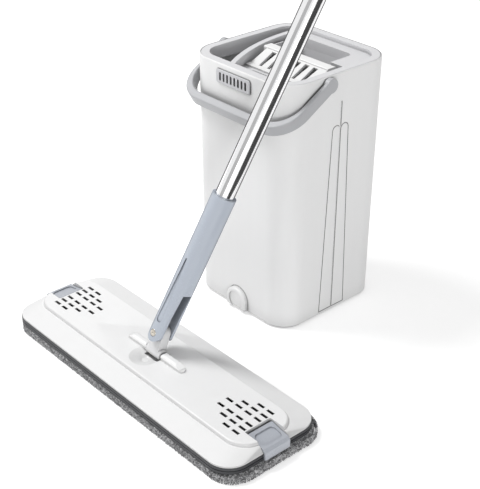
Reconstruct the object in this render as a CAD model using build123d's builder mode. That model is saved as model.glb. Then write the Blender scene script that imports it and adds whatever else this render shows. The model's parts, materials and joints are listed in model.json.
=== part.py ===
from build123d import *
from math import atan, cos, degrees, radians, sin
import os

os.makedirs("parts", exist_ok=True)

# Flat mop standing in front of its wringing bucket.
# Origin: centre of the bucket's base, on the floor. The bucket's front faces -Y.

# Bucket
bucket_height = 320.0
rim_width = 172.0
base_width = 166.0
rim_corner = 35.0
wall = 2.6
base_floor = 3.0
base_chamfer = 3.0

# Wringing insert that closes the top of the bucket
flange_height = 4.0
flange_chamfer = 0.8
flange_clearance = 0.1
rim_lip = 1.4
rim_chamfer = 1.0
rim_band = 12.0
skirt = 2.5
tray_depth = 15.0
tray_thick = 2.0
rib_front_gap = 51.0
rib_middle_gap = 21.5
rib_middle_y = -10.0
rib_back_gap = 14.0
rib_thick = 7.5
rib_below_rim = 2.0
deck_below_rim = 4.5
deck_thick = 2.5
deck_step = 12.0
locator_length = 80.0
locator_height = 6.0
sump_length = 32.0
sump_width = 9.0
sump_gap = 14.0

# Drying slot and its chute
slot_side_gap = 28.0
slot_back_gap = 16.0
slot_width = 50.0
slot_corner = 8.0
chute_depth = 60.0
chute_wall = 1.6
chute_flange = 4.0
chute_taper = 4.0

# Washing comb
comb_left_gap = 41.0
comb_right_gap = 6.0
comb_run = 29.0
comb_top_below_rim = 2.0
comb_thick = 3.0
comb_fins = 7
comb_gap_front = 4.2
comb_gap_back = 7.4
comb_margin = 2.5
comb_lip = 5.0
gusset_thick = 2.5

# Scraper bar and its rubber lip
bar_left_gap = 34.0
bar_right_gap = 7.0
bar_width = 13.6
bar_gap = 1.4
bar_height = 7.0
bar_below_rim = 1.0
bar_round = 2.0
bar_foot = 9.0
lip_thick = 1.8
lip_height = 11.0
lip_inset = 3.0

# Vent grille on the front wall
vent_x = -3.0
vent_below_rim = 15.0
vent_width = 58.0
vent_height = 17.0
vent_thick = 2.0
vent_corner = 3.0
vent_chamfer = 0.7
vent_frame = 3.0
vent_slots = 8
vent_slot_width = 3.2
vent_slot_height = 10.4
vent_pitch = 6.2
snap_clearance = 0.15

# Drain plug at the foot of the front wall
drain_x = 2.0
drain_z = 15.0
drain_hole = 9.0
plug_width = 34.0
plug_bottom = 4.5
plug_thick = 6.0
plug_round = 2.5
plug_panel_inset = 5.0
plug_panel_depth = 1.5
seal_wall = 1.5
seal_clearance = 0.05
spigot_reach = 2.0

# Creased relief on both side walls
relief_bottom = 6.0
relief_top = 250.0
relief_foot = 22.0
relief_head = 13.5
relief_line = 1.2
relief_depth = 0.8
crease_top = 285.0

# Carrying bail
bail_pivot_y = -24.0
bail_pivot_below_rim = 9.0
bail_drop = 30.0
bail_thick = 6.0
bail_grip = 10.0
bail_height = 14.0
bail_side_gap = 1.2
bail_front_gap = 0.5
bail_corner = 32.0
bail_round = 1.8
bail_eye = 8.6
bail_peg = 3.0
peg_clearance = 0.06
peg_boss = 4.8
peg_boss_depth = 2.4

# Mop head
head_x = 46.0
head_y = -247.5
head_length = 400.0
head_width = 135.0
head_corner = 27.0
pad_thick = 9.5
pad_overhang = 3.0
pad_shift = (3.0, 2.0)
pad_chamfer = 2.5
hook_thick = 1.0
hook_end = 30.0
hook_width = 22.0
hook_pitch = 42.0
base_thick = 7.5
base_overhang = 0.6
base_groove = 1.0
edge_height = 2.0
border_rise = 6.0
panel_step = 4.0
panel_end = 6.0
panel_width = 80.0
panel_corner = 28.0
panel_ledge = 2.0
panel_round = 3.0
shell_wall = 2.4
cavity_inner = 34.0
cavity_end = 30.0
dish_shift = (-5.3, -12.5)
dish_radius = 18.5
dish_floor = 4.0
dish_depth = 6.0
vent_skin = 1.0

# Small drain slots through the mop head, in two mirrored arrow-shaped groups
vents_end = 79.3
vents_pitch = 14.9
vents_rows = (6.2, 15.4, 24.6)
vents_columns = (1, 2, 3, 3)
vents_length = 10.0
vents_width = 3.6

# Pad clips at both ends of the head
clip_width = 35.0
clip_gap = 0.5
clip_pocket = 28.0
clip_pocket_corner = 2.0
clip_corner = 4.5
clip_pin_inset = 23.6
clip_pin_below_top = 5.5
clip_pin_radius = 1.5
clip_barrel = 3.4
clip_thick = 3.2
clip_lip = 2.8
clip_lip_gap = 0.7
clip_lip_clear = 1.5
scoop_length = 18.0
scoop_width = 28.0
scoop_corner = 6.0
scoop_depth = 1.8
pin_grip = 5.0
pin_clearance = 0.06

# Two-axis joint between the head and the pole
axle_radius = 2.8
axle_rise = 3.0
axle_half = 38.0
axle_clearance = 0.06
axle_end_gap = 0.5
cap_inner = 13.5
cap_outer = 50.0
cap_radius = 4.6
cap_round = 3.0
cap_toe = 1.5
hub_radius = 6.4
hub_clearance = 3.6
hub_width = 24.0
knuckle_width = 17.0
knuckle_thick = 12.0
eye_radius = 8.5
pin_rise = 24.0
pin_radius = 3.0
rivet_head = 4.4
rivet_head_height = 1.2
pole_tilt = 22.0
pole_swing = 10.75

# Pole socket
socket_length = 181.0
socket_radius = 14.0
ear_width = 20.5
ear_gap = 0.25
ear_top = 24.0
fork_top = 57.0
barrel_start = 78.0
web_thick = 3.0
web_gap = 2.0
flute_start = 15.0
flute_end = 100.0
flute_width = 8.0
flute_tip = 1.0
flute_depth = 1.6

# Pole in three sections, grip and hanging eye, measured along the pole from the fork pin
tube_radius = 11.0
tube_wall = 0.8
tube_clearance = 0.05
tube_seat = 72.0
section_ends = (470.0, 820.0, 1120.0)
joint_ring = 4.0
joint_ring_radius = 11.8
joint_plug = 34.0
grip_length = 130.0
grip_radius = 15.5
grip_waist = 14.2
eye_plug = 30.0
eye_length = 34.0
eye_width = 24.0
eye_thick = 11.0
hang_hole = 6.0
eye_cap = 4.0

# Heights and places that follow from the sizes above
ledge_height = bucket_height - flange_height
slope = (rim_width - base_width) / 2 / bucket_height
taper = degrees(atan(slope))
base_corner = rim_corner - (rim_width - base_width) / 2
inner_width = rim_width - 2 * rim_band
inner_corner = rim_corner - rim_band
tray_top = bucket_height - tray_depth
tray_bottom = tray_top - tray_thick
deck_top = bucket_height - deck_below_rim
deck_bottom = deck_top - deck_thick
bar_top = bucket_height - bar_below_rim
inner_edge = inner_width / 2
rib_front_x = rib_front_gap - inner_edge
rib_middle = (rib_middle_gap - inner_edge, rib_middle_y)
rib_back_x = rib_back_gap - inner_edge
slot_left_x = slot_side_gap - inner_edge
slot_right_x = inner_edge - slot_side_gap
slot_back_y = inner_edge - slot_back_gap
slot_front_y = slot_back_y - slot_width
slot_centre = (0, slot_front_y + slot_width / 2)
slot_size = (slot_right_x - slot_left_x, slot_width)
deck_front_y = slot_front_y + deck_step
bar_left_x = bar_left_gap - inner_edge
bar_right_x = inner_edge - bar_right_gap
comb_left_x = comb_left_gap - inner_edge
comb_right_x = inner_edge - comb_right_gap
comb_back_y = slot_front_y - bar_width - bar_gap
comb_front_y = comb_back_y - comb_run
sump_y = comb_front_y - sump_gap
bail_pivot_z = bucket_height - bail_pivot_below_rim
hook_length = head_length - 2 * hook_end
panel_length = head_length - 2 * panel_end
cavity_outer = head_length / 2 - cavity_end
vents_start = head_length / 2 - vents_end
vents_span = (len(vents_columns) - 1) * vents_pitch
hook_bottom = pad_thick
base_bottom = hook_bottom + hook_thick
shell_bottom = base_bottom + base_thick
border_bottom = shell_bottom + edge_height
border_top = border_bottom + border_rise
panel_top = border_top + panel_step
axle_z = panel_top + axle_rise
clip_pin_z = panel_top - clip_pin_below_top
axle_bore = axle_radius + axle_clearance
axle_seat = 2 * (axle_half + axle_end_gap)


def half_width(z):
    """Half of the bucket's outer width at height z."""
    return base_width / 2 + slope * z


def wall_plane(side, z):
    """Plane on the sloping outer wall at height z, where side is the wall's direction in plan."""
    across, along = side
    lean = radians(taper)
    return Plane(
        origin=(across * half_width(z), along * half_width(z), z),
        x_dir=(-along, across, 0),
        z_dir=(across * cos(lean), along * cos(lean), -sin(lean)),
    )


def head_at(z):
    """Level plane at height z, centred on the mop head."""
    return Plane(origin=(head_x, head_y, z))


front = (0, -1)
tilt = radians(pole_tilt)
swing = radians(pole_swing)
knuckle_plane = Plane(
    origin=(head_x, head_y, axle_z), x_dir=(1, 0, 0), z_dir=(0, sin(tilt), cos(tilt))
)
pin_point = knuckle_plane.from_local_coords((0, 0, pin_rise))
pole_direction = Vector(sin(swing), cos(swing) * sin(tilt), cos(swing) * cos(tilt))
pole_plane = Plane(
    origin=pin_point,
    x_dir=Vector(knuckle_plane.y_dir).cross(pole_direction),
    z_dir=pole_direction,
)


def finish(builder, name):
    """Label a piece and write it as its own STEP file."""
    builder.part.label = name
    export_step(builder.part, f"parts/{name}.step")


def relief_lobe(inset, mode):
    """One arch-topped lobe of the side relief, drawn in from its edge by inset."""
    foot = relief_foot - inset
    head = relief_head - inset
    low = relief_bottom + inset
    crown = relief_top + (head - inset) / 2
    with BuildLine() as outline:
        Polyline((head, relief_top), (foot, low), (inset, low), (inset, relief_top))
        ThreePointArc((inset, relief_top), ((inset + head) / 2, crown), (head, relief_top))
    make_face(outline.edges(), mode=mode)


# Bucket shell: tapered tub with a ledge for the insert, a vent opening, a drain hole and two pivot bosses
with BuildPart() as bucket_shell:
    with BuildSketch():
        RectangleRounded(base_width, base_width, base_corner)
    extrude(amount=bucket_height, taper=-taper)
    chamfer(bucket_shell.edges().group_by(Axis.Z)[-1], rim_chamfer)
    chamfer(bucket_shell.edges().group_by(Axis.Z)[0], base_chamfer)
    cavity_width = 2 * (half_width(base_floor) - wall)
    with BuildSketch(Plane.XY.offset(base_floor)):
        RectangleRounded(cavity_width, cavity_width, base_corner - wall)
    extrude(amount=bucket_height, taper=-taper, mode=Mode.SUBTRACT)
    with BuildSketch(Plane.XY.offset(ledge_height)):
        RectangleRounded(rim_width - 2 * rim_lip, rim_width - 2 * rim_lip, rim_corner - rim_lip)
    extrude(amount=flange_height, mode=Mode.SUBTRACT)
    boss_x = half_width(bail_pivot_z) - wall / 2 - peg_boss_depth / 2
    with Locations((boss_x, bail_pivot_y, bail_pivot_z), (-boss_x, bail_pivot_y, bail_pivot_z)):
        Cylinder(peg_boss, wall / 2 + peg_boss_depth, rotation=(0, 90, 0))
        Cylinder(
            bail_peg + peg_clearance,
            4 * wall + peg_boss_depth,
            rotation=(0, 90, 0),
            mode=Mode.SUBTRACT,
        )
    with BuildSketch(wall_plane(front, bucket_height - vent_below_rim)):
        with Locations((vent_x, 0)):
            Rectangle(vent_width - 2 * vent_frame, vent_height - 2 * vent_frame)
    extrude(amount=-2 * wall, mode=Mode.SUBTRACT)
    with BuildSketch(wall_plane(front, drain_z)):
        with Locations((drain_x, 0)):
            Circle(drain_hole)
    extrude(amount=-2 * wall, mode=Mode.SUBTRACT)
    for side in ((1, 0), (-1, 0)):
        with BuildSketch(wall_plane(side, 0)):
            relief_lobe(0, Mode.ADD)
            relief_lobe(relief_line, Mode.SUBTRACT)
            mirror(about=Plane.YZ)
            with Locations((0, (relief_top + crease_top) / 2)):
                Rectangle(2 * relief_line, crease_top - relief_top)
        extrude(amount=-relief_depth, mode=Mode.SUBTRACT)
finish(bucket_shell, "bucket_shell")

# Vent grille: slotted plate that snaps into the opening
with BuildPart() as vent_grille:
    with BuildSketch(wall_plane(front, bucket_height - vent_below_rim)):
        with Locations((vent_x, 0)):
            RectangleRounded(vent_width, vent_height, vent_corner)
    extrude(amount=vent_thick)
    chamfer(vent_grille.edges().group_by(Axis.Y)[0], vent_chamfer)
    with BuildSketch(wall_plane(front, bucket_height - vent_below_rim)):
        with Locations((vent_x, 0)):
            snap_inset = vent_frame + snap_clearance
            Rectangle(vent_width - 2 * snap_inset, vent_height - 2 * snap_inset)
    extrude(amount=-wall)
    with BuildSketch(wall_plane(front, bucket_height - vent_below_rim)):
        with Locations((vent_x, 0)):
            with GridLocations(vent_pitch, 0, vent_slots, 1):
                SlotOverall(vent_slot_height, vent_slot_width, rotation=90)
    extrude(amount=2 * wall, both=True, mode=Mode.SUBTRACT)
finish(vent_grille, "vent_grille")


def slot_outline(grow, mode=Mode.ADD):
    """Plan of the drying slot with rounded back corners, made larger all round by grow."""
    width, depth = slot_size[0] + 2 * grow, slot_size[1] + 2 * grow
    with BuildSketch(mode=Mode.PRIVATE) as plan:
        with Locations(slot_centre):
            RectangleRounded(width, depth, slot_corner + grow)
            Rectangle(width, depth / 2, align=(Align.CENTER, Align.MAX))
    add(plan.sketch, mode=mode)


def tray_outline():
    """Inside of the rim, right of the curved rib that leaves the pouring corner open."""
    reach = (inner_width + skirt) / 2
    RectangleRounded(2 * reach, 2 * reach, inner_corner + skirt / 2)
    with BuildLine() as right_of_rib:
        ThreePointArc((rib_front_x, -reach), rib_middle, (rib_back_x, reach))
        Polyline((rib_back_x, reach), (rim_width, reach), (rim_width, -reach), (rib_front_x, -reach))
    make_face(right_of_rib.edges(), mode=Mode.INTERSECT)


# Wringing insert: rim flange, sunken tray, curved rib, raised deck round the drying slot
with BuildPart() as wringer_insert:
    flange_inset = rim_lip + flange_clearance
    flange_width = rim_width - 2 * flange_inset
    with BuildSketch(Plane.XY.offset(ledge_height)):
        RectangleRounded(flange_width, flange_width, rim_corner - flange_inset)
    extrude(amount=flange_height)
    chamfer(wringer_insert.edges().group_by(Axis.Z)[-1], flange_chamfer)
    with BuildSketch(Plane.XY.offset(tray_bottom)):
        RectangleRounded(inner_width + 2 * skirt, inner_width + 2 * skirt, inner_corner + skirt)
    extrude(amount=ledge_height - tray_bottom)
    with BuildSketch(Plane.XY.offset(tray_bottom)):
        RectangleRounded(inner_width, inner_width, inner_corner)
    extrude(amount=bucket_height - tray_bottom, mode=Mode.SUBTRACT)
    with BuildSketch(Plane.XY.offset(tray_bottom)):
        tray_outline()
    extrude(amount=tray_thick)
    rib_end = (inner_width + skirt) / 2
    with BuildSketch(Plane.XY.offset(tray_bottom)):
        with BuildLine():
            ThreePointArc((rib_front_x, -rib_end), rib_middle, (rib_back_x, rib_end))
            Line((rib_back_x, rib_end), (rib_back_x + rib_thick, rib_end))
            ThreePointArc(
                (rib_back_x + rib_thick, rib_end),
                (rib_middle[0] + rib_thick, rib_middle[1]),
                (rib_front_x + rib_thick, -rib_end),
            )
            Line((rib_front_x + rib_thick, -rib_end), (rib_front_x, -rib_end))
        make_face()
    extrude(amount=bucket_height - rib_below_rim - tray_bottom)
    with BuildSketch(Plane.XY.offset(deck_bottom)):
        with Locations((rib_back_x + rib_thick / 2, slot_back_y)):
            Rectangle(rim_width, rim_width, align=(Align.MIN, Align.MIN))
        with Locations((slot_right_x, deck_front_y)):
            Rectangle(rim_width, rim_width, align=(Align.MIN, Align.MIN))
        with Locations((0, slot_back_y)):
            Rectangle(slot_size[0], slot_corner, align=(Align.CENTER, Align.MAX))
        slot_outline(0, Mode.SUBTRACT)
        RectangleRounded(
            inner_width + skirt, inner_width + skirt, inner_corner + skirt / 2, mode=Mode.INTERSECT
        )
    extrude(amount=deck_thick)
    with BuildSketch(Plane.XY.offset(tray_top)):
        slot_outline(tray_thick)
        slot_outline(0, Mode.SUBTRACT)
        with Locations((0, slot_front_y)):
            Rectangle(rim_width, tray_thick, align=(Align.CENTER, Align.MAX), mode=Mode.SUBTRACT)
        with Locations((slot_right_x, deck_front_y)):
            Rectangle(inner_width / 2 - slot_right_x, tray_thick, align=(Align.MIN, Align.MIN))
    extrude(amount=deck_bottom - tray_top)
    with BuildSketch(Plane.XY.offset(tray_bottom)):
        slot_outline(0)
        with Locations((comb_left_x + gusset_thick, comb_front_y)):
            Rectangle(
                comb_right_x - comb_left_x - 2 * gusset_thick,
                comb_run,
                align=(Align.MIN, Align.MIN),
            )
        with Locations((0, sump_y)):
            SlotOverall(sump_length, sump_width)
    extrude(amount=tray_thick, mode=Mode.SUBTRACT)
    locator_y = half_width(ledge_height - locator_height) - wall - skirt
    with BuildSketch(Plane.XY.offset(ledge_height - locator_height)):
        with Locations((0, locator_y), (0, -locator_y)):
            Rectangle(locator_length, skirt)
    extrude(amount=locator_height)
finish(wringer_insert, "wringer_insert")

# Drying chute: tapered duct hung under the tray around the drying slot
with BuildPart() as dry_chute:
    with BuildSketch(Plane.XY.offset(tray_bottom)):
        with Locations(slot_centre):
            Rectangle(slot_size[0] + 2 * chute_flange, slot_size[1] + 2 * chute_flange)
    extrude(amount=-chute_wall)
    with BuildSketch(Plane.XY.offset(tray_bottom)):
        with Locations(slot_centre):
            Rectangle(slot_size[0] + 2 * chute_wall, slot_size[1] + 2 * chute_wall)
    extrude(amount=-chute_depth, taper=chute_taper)
    with BuildSketch(Plane.XY.offset(tray_bottom)):
        with Locations(slot_centre):
            Rectangle(*slot_size)
    extrude(amount=-chute_depth, taper=chute_taper, mode=Mode.SUBTRACT)
finish(dry_chute, "dry_chute")

# Washing comb: sloping board of fins with gaps that open towards the scraper bar
comb_length = comb_right_x - comb_left_x
comb_rise = tray_depth - comb_top_below_rim
comb_slant = (comb_run ** 2 + comb_rise ** 2) ** 0.5
comb_plane = Plane(
    origin=((comb_left_x + comb_right_x) / 2, comb_front_y, tray_top),
    x_dir=(1, 0, 0),
    z_dir=(0, -comb_rise, comb_run),
)
comb_pitch = (comb_length - 2 * gusset_thick) / comb_fins
with BuildPart() as wash_comb:
    with BuildSketch(comb_plane):
        Rectangle(comb_length - 2 * gusset_thick, comb_slant, align=(Align.CENTER, Align.MIN))
    extrude(amount=-comb_thick)
    for gusset_x in (comb_left_x, comb_right_x - gusset_thick):
        with BuildSketch(Plane.YZ.offset(gusset_x)):
            Polygon(
                (comb_front_y, tray_top),
                (comb_back_y, tray_top),
                (comb_back_y, tray_top + comb_rise),
                align=None,
            )
        extrude(amount=gusset_thick)
    with Locations(((comb_left_x + comb_right_x) / 2, comb_front_y + comb_margin, tray_top)):
        Box(comb_length, comb_lip + comb_margin, tray_thick, align=(Align.CENTER, Align.MAX, Align.MIN))
    with BuildSketch(comb_plane):
        with GridLocations(comb_pitch, 0, comb_fins - 1, 1):
            Polygon(
                (-comb_gap_front / 2, comb_margin),
                (comb_gap_front / 2, comb_margin),
                (comb_gap_back / 2, comb_slant - comb_margin),
                (-comb_gap_back / 2, comb_slant - comb_margin),
                align=None,
            )
    extrude(amount=-2 * comb_thick, mode=Mode.SUBTRACT)
finish(wash_comb, "wash_comb")

# Scraper bar on two feet, between the comb and the drying slot
with BuildPart() as scraper_bar:
    with Locations((bar_left_x, slot_front_y, bar_top)):
        Box(bar_right_x - bar_left_x, bar_width, bar_height, align=(Align.MIN, Align.MAX, Align.MAX))
    fillet(scraper_bar.edges().filter_by(Axis.X).group_by(Axis.Z)[-1], bar_round)
    foot_height = bar_top - bar_height - tray_top
    with Locations((bar_left_x, slot_front_y, tray_top), (bar_right_x - bar_foot, slot_front_y, tray_top)):
        Box(bar_foot, bar_width, foot_height, align=(Align.MIN, Align.MAX, Align.MIN))
finish(scraper_bar, "scraper_bar")

# Rubber lip along the back of the bar
with BuildPart() as scraper_lip:
    with BuildSketch(Plane.XY.offset(bar_top - bar_round)):
        with Locations((slot_left_x + lip_inset + bar_foot, slot_front_y)):
            Rectangle(slot_size[0] - 2 * lip_inset - bar_foot, lip_thick, align=(Align.MIN, Align.MIN))
    extrude(amount=-lip_height)
    chamfer(scraper_lip.edges().filter_by(Axis.X).group_by(Axis.Z)[0].sort_by(Axis.Y)[-1], lip_thick / 2)
finish(scraper_lip, "scraper_lip")

# Drain plug: arched cap on the front wall, with a spigot through the hole
plug_radius = plug_width / 2
with BuildPart() as drain_plug:
    with BuildSketch(wall_plane(front, drain_z)):
        with Locations((drain_x, 0)):
            Circle(plug_radius)
        with Locations((drain_x, plug_bottom - drain_z)):
            Rectangle(plug_width, drain_z - plug_bottom, align=(Align.CENTER, Align.MIN))
            Rectangle(2 * plug_width, plug_width, align=(Align.CENTER, Align.MAX), mode=Mode.SUBTRACT)
    extrude(amount=plug_thick)
    fillet(drain_plug.edges().group_by(Axis.Y)[0], plug_round)
    with BuildSketch(wall_plane(front, drain_z).offset(plug_thick)):
        with Locations((drain_x, 0)):
            Circle(plug_radius - plug_panel_inset)
    extrude(amount=-plug_panel_depth, mode=Mode.SUBTRACT)
    with BuildSketch(wall_plane(front, drain_z)):
        with Locations((drain_x, 0)):
            Circle(drain_hole - seal_wall)
    extrude(amount=-wall - spigot_reach)
finish(drain_plug, "drain_plug")

# Rubber seal round the spigot, inside the hole
with BuildPart() as drain_seal:
    with BuildSketch(wall_plane(front, drain_z)):
        with Locations((drain_x, 0)):
            Circle(drain_hole - seal_clearance)
            Circle(drain_hole - seal_wall, mode=Mode.SUBTRACT)
    extrude(amount=-wall)
finish(drain_seal, "drain_seal")

# Carrying bail: a strip bent round the front of the bucket, thicker in the grip, with a peg in each wall
drop = radians(bail_drop)
bail_low = bail_pivot_z - bail_height
bail_inner = half_width(bucket_height) + bail_side_gap
bail_clear = half_width(bail_low) + bail_front_gap + bail_pivot_y
bail_reach = (bail_clear + bail_height / 2 * sin(drop)) / cos(drop)
bail_plane = Plane(
    origin=(0, bail_pivot_y, bail_pivot_z), x_dir=(1, 0, 0), z_dir=(0, -sin(drop), cos(drop))
)
with BuildPart() as bail_handle:
    with BuildSketch(bail_plane):
        RectangleRounded(
            2 * (bail_inner + bail_thick), 2 * (bail_reach + bail_grip), bail_corner + bail_thick
        )
        RectangleRounded(2 * bail_inner, 2 * bail_reach, bail_corner, mode=Mode.SUBTRACT)
        Rectangle(4 * bail_inner, 4 * bail_inner, align=(Align.CENTER, Align.MIN), mode=Mode.SUBTRACT)
    extrude(amount=bail_height / 2, both=True)
    bail_top = bail_handle.faces().sort_by(Axis(bail_plane.origin, bail_plane.z_dir))[-1]
    fillet(bail_top.edges(), bail_round)
    eye_x = bail_inner + bail_thick / 2
    peg_length = bail_inner - half_width(bail_pivot_z) + wall + peg_boss_depth
    with Locations((eye_x, bail_pivot_y, bail_pivot_z), (-eye_x, bail_pivot_y, bail_pivot_z)):
        Cylinder(bail_eye, bail_thick, rotation=(0, 90, 0))
    peg_x = bail_inner - peg_length / 2
    with Locations((peg_x, bail_pivot_y, bail_pivot_z), (-peg_x, bail_pivot_y, bail_pivot_z)):
        Cylinder(bail_peg, peg_length, rotation=(0, 90, 0))
finish(bail_handle, "bail_handle")

# Microfibre pad under the whole head
with BuildPart() as mop_pad:
    with BuildSketch(head_at(0)):
        with Locations(pad_shift):
            RectangleRounded(
                head_length + 2 * pad_overhang,
                head_width + 2 * pad_overhang,
                head_corner + pad_overhang,
            )
    extrude(amount=pad_thick)
    chamfer(mop_pad.edges().group_by(Axis.Z)[-1], pad_chamfer)
finish(mop_pad, "mop_pad")

# Hook strips that hold the pad to the base plate
with BuildPart() as hook_strips:
    with BuildSketch(head_at(hook_bottom)):
        with GridLocations(0, hook_pitch, 1, 3):
            Rectangle(hook_length, hook_width)
    extrude(amount=hook_thick)
finish(hook_strips, "hook_strips")

# Base plate of the head, with a groove round its edge
with BuildPart() as head_base:
    with BuildSketch(head_at(base_bottom)):
        RectangleRounded(
            head_length + 2 * base_overhang,
            head_width + 2 * base_overhang,
            head_corner + base_overhang,
        )
    extrude(amount=base_thick)
    with BuildSketch(head_at(base_bottom + base_thick / 2)):
        RectangleRounded(
            head_length + 2 * pad_overhang,
            head_width + 2 * pad_overhang,
            head_corner + pad_overhang,
        )
        groove_inset = base_groove - base_overhang
        RectangleRounded(
            head_length - 2 * groove_inset,
            head_width - 2 * groove_inset,
            head_corner - groove_inset,
            mode=Mode.SUBTRACT,
        )
    extrude(amount=base_groove / 2, both=True, mode=Mode.SUBTRACT)
finish(head_base, "head_base")


def cap_outline(side):
    """Plan of one axle bearing, with its rounded end away from the middle of the head."""
    flat = cap_outer - cap_radius
    with Locations((side * (cap_inner + flat) / 2, 0)):
        Rectangle(flat - cap_inner, 2 * cap_radius)
    with Locations((side * flat, 0)):
        Circle(cap_radius)


def cap_slopes():
    """Slopes both bearings down to the panel beyond the ends of the axle."""
    crest = axle_z + cap_radius
    with BuildSketch(Plane.XZ.offset(-head_y)) as slopes:
        for side in (-1, 1):
            Polygon(
                (head_x + side * axle_seat / 2, crest),
                (head_x + side * cap_outer, panel_top + cap_toe),
                (head_x + side * cap_outer, crest),
                align=None,
            )
    extrude(slopes.sketch, amount=cap_radius, both=True, mode=Mode.SUBTRACT)


# Head shell: sloping border, raised panel, dish under the joint, bearings, slots, clip pockets
with BuildPart() as head_shell:
    with BuildSketch(head_at(shell_bottom)):
        RectangleRounded(head_length, head_width, head_corner)
    extrude(amount=edge_height)
    with BuildSketch(head_at(border_bottom)):
        RectangleRounded(head_length, head_width, head_corner)
    with BuildSketch(head_at(border_top)):
        RectangleRounded(
            panel_length + 2 * panel_ledge,
            panel_width + 2 * panel_ledge,
            panel_corner + panel_ledge,
        )
    loft(ruled=True)
    with BuildSketch(head_at(border_top)):
        RectangleRounded(panel_length, panel_width, panel_corner)
    extrude(amount=panel_step)
    fillet(head_shell.edges().group_by(Axis.Z)[-1], panel_round)
    cavity_length = cavity_outer - cavity_inner
    with BuildSketch(head_at(shell_bottom)):
        with GridLocations(cavity_outer + cavity_inner, 0, 2, 1):
            RectangleRounded(cavity_length, panel_width - 2 * shell_wall, panel_corner / 2)
    extrude(amount=panel_top - shell_wall - shell_bottom, mode=Mode.SUBTRACT)
    with BuildSketch(head_at(panel_top - shell_wall)):
        with GridLocations(2 * vents_start + vents_span, 0, 2, 1):
            Rectangle(vents_span + vents_length, 2 * (vents_rows[-1] + vents_width))
    extrude(amount=shell_wall - vent_skin, mode=Mode.SUBTRACT)
    with Locations(head_at(panel_top)):
        with Locations(dish_shift):
            Cone(
                dish_floor,
                dish_radius,
                dish_depth,
                align=(Align.CENTER, Align.CENTER, Align.MAX),
                mode=Mode.SUBTRACT,
            )
    with BuildSketch(head_at(panel_top)):
        cap_outline(1)
        cap_outline(-1)
    extrude(amount=axle_rise)
    cap_slopes()
    with Locations((head_x, head_y, axle_z)):
        Cylinder(hub_radius + hub_clearance, 2 * cap_inner, rotation=(0, 90, 0), mode=Mode.SUBTRACT)
        Cylinder(axle_bore, axle_seat, rotation=(0, 90, 0), mode=Mode.SUBTRACT)
    with BuildSketch(head_at(panel_top)):
        for column, count in enumerate(vents_columns):
            for row in vents_rows[:count]:
                with GridLocations(2 * (vents_start + column * vents_pitch), 2 * row, 2, 2):
                    Rectangle(vents_length, vents_width)
    extrude(amount=-2 * shell_wall, mode=Mode.SUBTRACT)
    pocket_width = clip_width + 2 * clip_gap
    with BuildSketch(head_at(border_bottom)):
        with GridLocations(head_length, 0, 2, 1):
            RectangleRounded(2 * clip_pocket, pocket_width, clip_pocket_corner)
    extrude(amount=panel_top, mode=Mode.SUBTRACT)
    pin_length = pocket_width + 2 * pin_grip
    with Locations(head_at(clip_pin_z)):
        with GridLocations(head_length - 2 * clip_pin_inset, 0, 2, 1):
            Cylinder(clip_pin_radius + pin_clearance, pin_length, rotation=(90, 0, 0), mode=Mode.SUBTRACT)
finish(head_shell, "head_shell")

# Pad clip and its pin at each end: a curved plate on a barrel, with a lip over the edge of the head
for side, name in ((-1, "left"), (1, "right")):
    end_plane = Plane(origin=(head_x, head_y, 0), x_dir=(side, 0, 0), z_dir=(0, -side, 0))
    end = head_length / 2
    pin_u = end - clip_pin_inset
    lip_inner = end + clip_lip_gap
    lip_outer = lip_inner + clip_lip
    plate_low = border_bottom + clip_gap
    plate_end = plate_low + clip_thick
    crown_z = clip_pin_z + clip_barrel
    with BuildPart() as pad_clip:
        with BuildSketch(end_plane):
            with BuildLine():
                ThreePointArc(
                    (pin_u, crown_z),
                    ((pin_u + lip_inner) / 2, (crown_z + plate_end) / 2 - clip_gap),
                    (lip_inner, plate_end),
                )
                Polyline(
                    (lip_inner, plate_end),
                    (lip_outer, plate_low),
                    (lip_outer, pad_thick + clip_lip_clear),
                    (lip_inner, pad_thick + clip_lip_clear),
                    (lip_inner, plate_low),
                    (pin_u, clip_pin_z - clip_thick / 2),
                    (pin_u, crown_z),
                )
            make_face()
            with Locations((pin_u, clip_pin_z)):
                Circle(clip_barrel)
                Circle(clip_pin_radius + pin_clearance, mode=Mode.SUBTRACT)
        extrude(amount=clip_width / 2, both=True)
        with BuildSketch(head_at(0)):
            with Locations((side * end, 0)):
                RectangleRounded(2 * (clip_pocket - clip_gap), clip_width, clip_corner)
        extrude(amount=panel_top, mode=Mode.INTERSECT)
        scoop_plane = Plane(
            origin=end_plane.from_local_coords(((pin_u + lip_inner) / 2, (crown_z + plate_end) / 2, 0)),
            x_dir=(side * (lip_inner - pin_u), 0, plate_end - crown_z),
            z_dir=(side * (crown_z - plate_end), 0, lip_inner - pin_u),
        )
        with BuildSketch(scoop_plane):
            RectangleRounded(scoop_length, scoop_width, scoop_corner)
        extrude(amount=scoop_depth, both=True, mode=Mode.SUBTRACT)
    finish(pad_clip, f"clip_{name}")
    with BuildPart() as clip_pin:
        with BuildSketch(end_plane):
            with Locations((pin_u, clip_pin_z)):
                Circle(clip_pin_radius)
        extrude(amount=pin_length / 2 - pin_clearance, both=True)
    finish(clip_pin, f"clip_pin_{name}")

# Bearing caps over the axle
for side, name in ((-1, "left"), (1, "right")):
    with BuildPart() as bearing_cap:
        with BuildSketch(head_at(axle_z)):
            cap_outline(side)
        extrude(amount=cap_radius)
        fillet(bearing_cap.edges().group_by(Axis.Z)[-1], cap_round)
        cap_slopes()
        with Locations((head_x, head_y, axle_z)):
            Cylinder(axle_bore, axle_seat, rotation=(0, 90, 0), mode=Mode.SUBTRACT)
    finish(bearing_cap, f"bearing_cap_{name}")

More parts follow.
